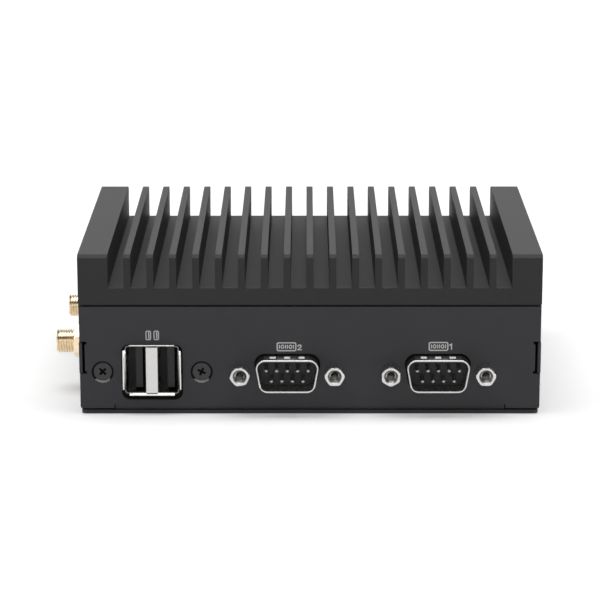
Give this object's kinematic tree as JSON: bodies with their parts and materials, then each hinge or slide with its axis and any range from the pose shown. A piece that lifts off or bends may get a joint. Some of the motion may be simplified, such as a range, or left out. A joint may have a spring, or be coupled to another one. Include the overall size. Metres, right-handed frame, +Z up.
{
  "type": "fanless industrial pc",
  "caption": "Small fanless industrial computer: finned aluminium cover over a folded sheet case, with serial ports, data ports, antenna jacks and rear sockets.",
  "frame": {"origin": "centre of the bottom plate's lower face", "axes": "+X to the right seen from the front, -Y out of the front panel, +Z up to the fins"},
  "size_m": [0.13, 0.0924, 0.0434],
  "materials": {
    "anodised_cover": "dark grey bead-blasted and anodised",
    "panel_paint": "fine dark grey powder coat",
    "black_screw": "black zinc",
    "plain_steel": "zinc plated",
    "bright_nickel": "bright nickel plate",
    "gold_plate": "gold plate",
    "black_plastic": "moulded, matt",
    "white_insulator": "turned, white",
    "board_green": "solder resist",
    "chip_black": "moulded, matt",
    "plain_aluminium": "milled",
    "pad_grey": "soft pad",
    "lead_jacket": "smooth jacket",
    "cell_steel": "plain",
    "clear_light": "clear, polished"
  },
  "bodies": {
    "case": {"antenna_contacts": "gold_plate", "antenna_insulators": "white_insulator", "antenna_jack_front": "gold_plate", "antenna_jack_rear": "gold_plate", "antenna_lead_front": "lead_jacket", "antenna_lead_rear": "lead_jacket", "antenna_nuts": "gold_plate", "antenna_washers": "gold_plate", "block_screws": "plain_steel", "board_spacers": "plain_steel", "bottom_plate": "panel_paint", "bottom_screws": "black_screw", "bracket_nuts": "plain_steel", "button_switch": "black_plastic", "capacitors": "cell_steel", "card_posts": "plain_steel", "card_screws": "plain_steel", "coin_cell": "cell_steel", "coin_cell_holder": "black_plastic", "cover_posts": "plain_steel", "data_port_bracket": "plain_steel", "data_port_contacts": "gold_plate", "data_port_divider": "bright_nickel", "data_port_insert": "black_plastic", "data_port_shell": "bright_nickel", "display_socket_inserts": "black_plastic", "display_socket_shells": "bright_nickel", "flange_nuts": "plain_steel", "flange_screws": "black_screw", "front_panel": "panel_paint", "heat_block": "plain_aluminium", "heatsink_cover": "anodised_cover", "jack_screws": "bright_nickel", "lead_plugs": "gold_plate", "left_side_wall": "panel_paint", "main_board": "board_green", "memory_chips": "chip_black", "network_socket_inserts": "black_plastic", "network_socket_shells": "bright_nickel", "panel_screws": "black_screw", "power_coils": "chip_black", "power_inlet_body": "black_plastic", "power_inlet_pin": "bright_nickel", "processor_package": "chip_black", "rear_panel": "panel_paint", "right_side_wall": "panel_paint", "serial_port_1_insert": "black_plastic", "serial_port_1_pins": "bright_nickel", "serial_port_1_shell": "bright_nickel", "serial_port_2_insert": "black_plastic", "serial_port_2_pins": "bright_nickel", "serial_port_2_shell": "bright_nickel", "status_light": "clear_light", "storage_card": "board_green", "storage_card_socket": "black_plastic", "thermal_pad": "pad_grey", "wireless_card": "board_green", "wireless_card_socket": "black_plastic"},
    "power_button": {"power_button": "black_plastic", "switch_plunger": "black_plastic"}
  },
  "joints": [
    {"name": "button_press", "type": "slide", "parent": "case", "child": "power_button", "axis": [0, -1, 0], "range_m": [0, 0.0005], "stiffness_N_per_m": 1500, "springref_m": -0.0002}
  ]
}
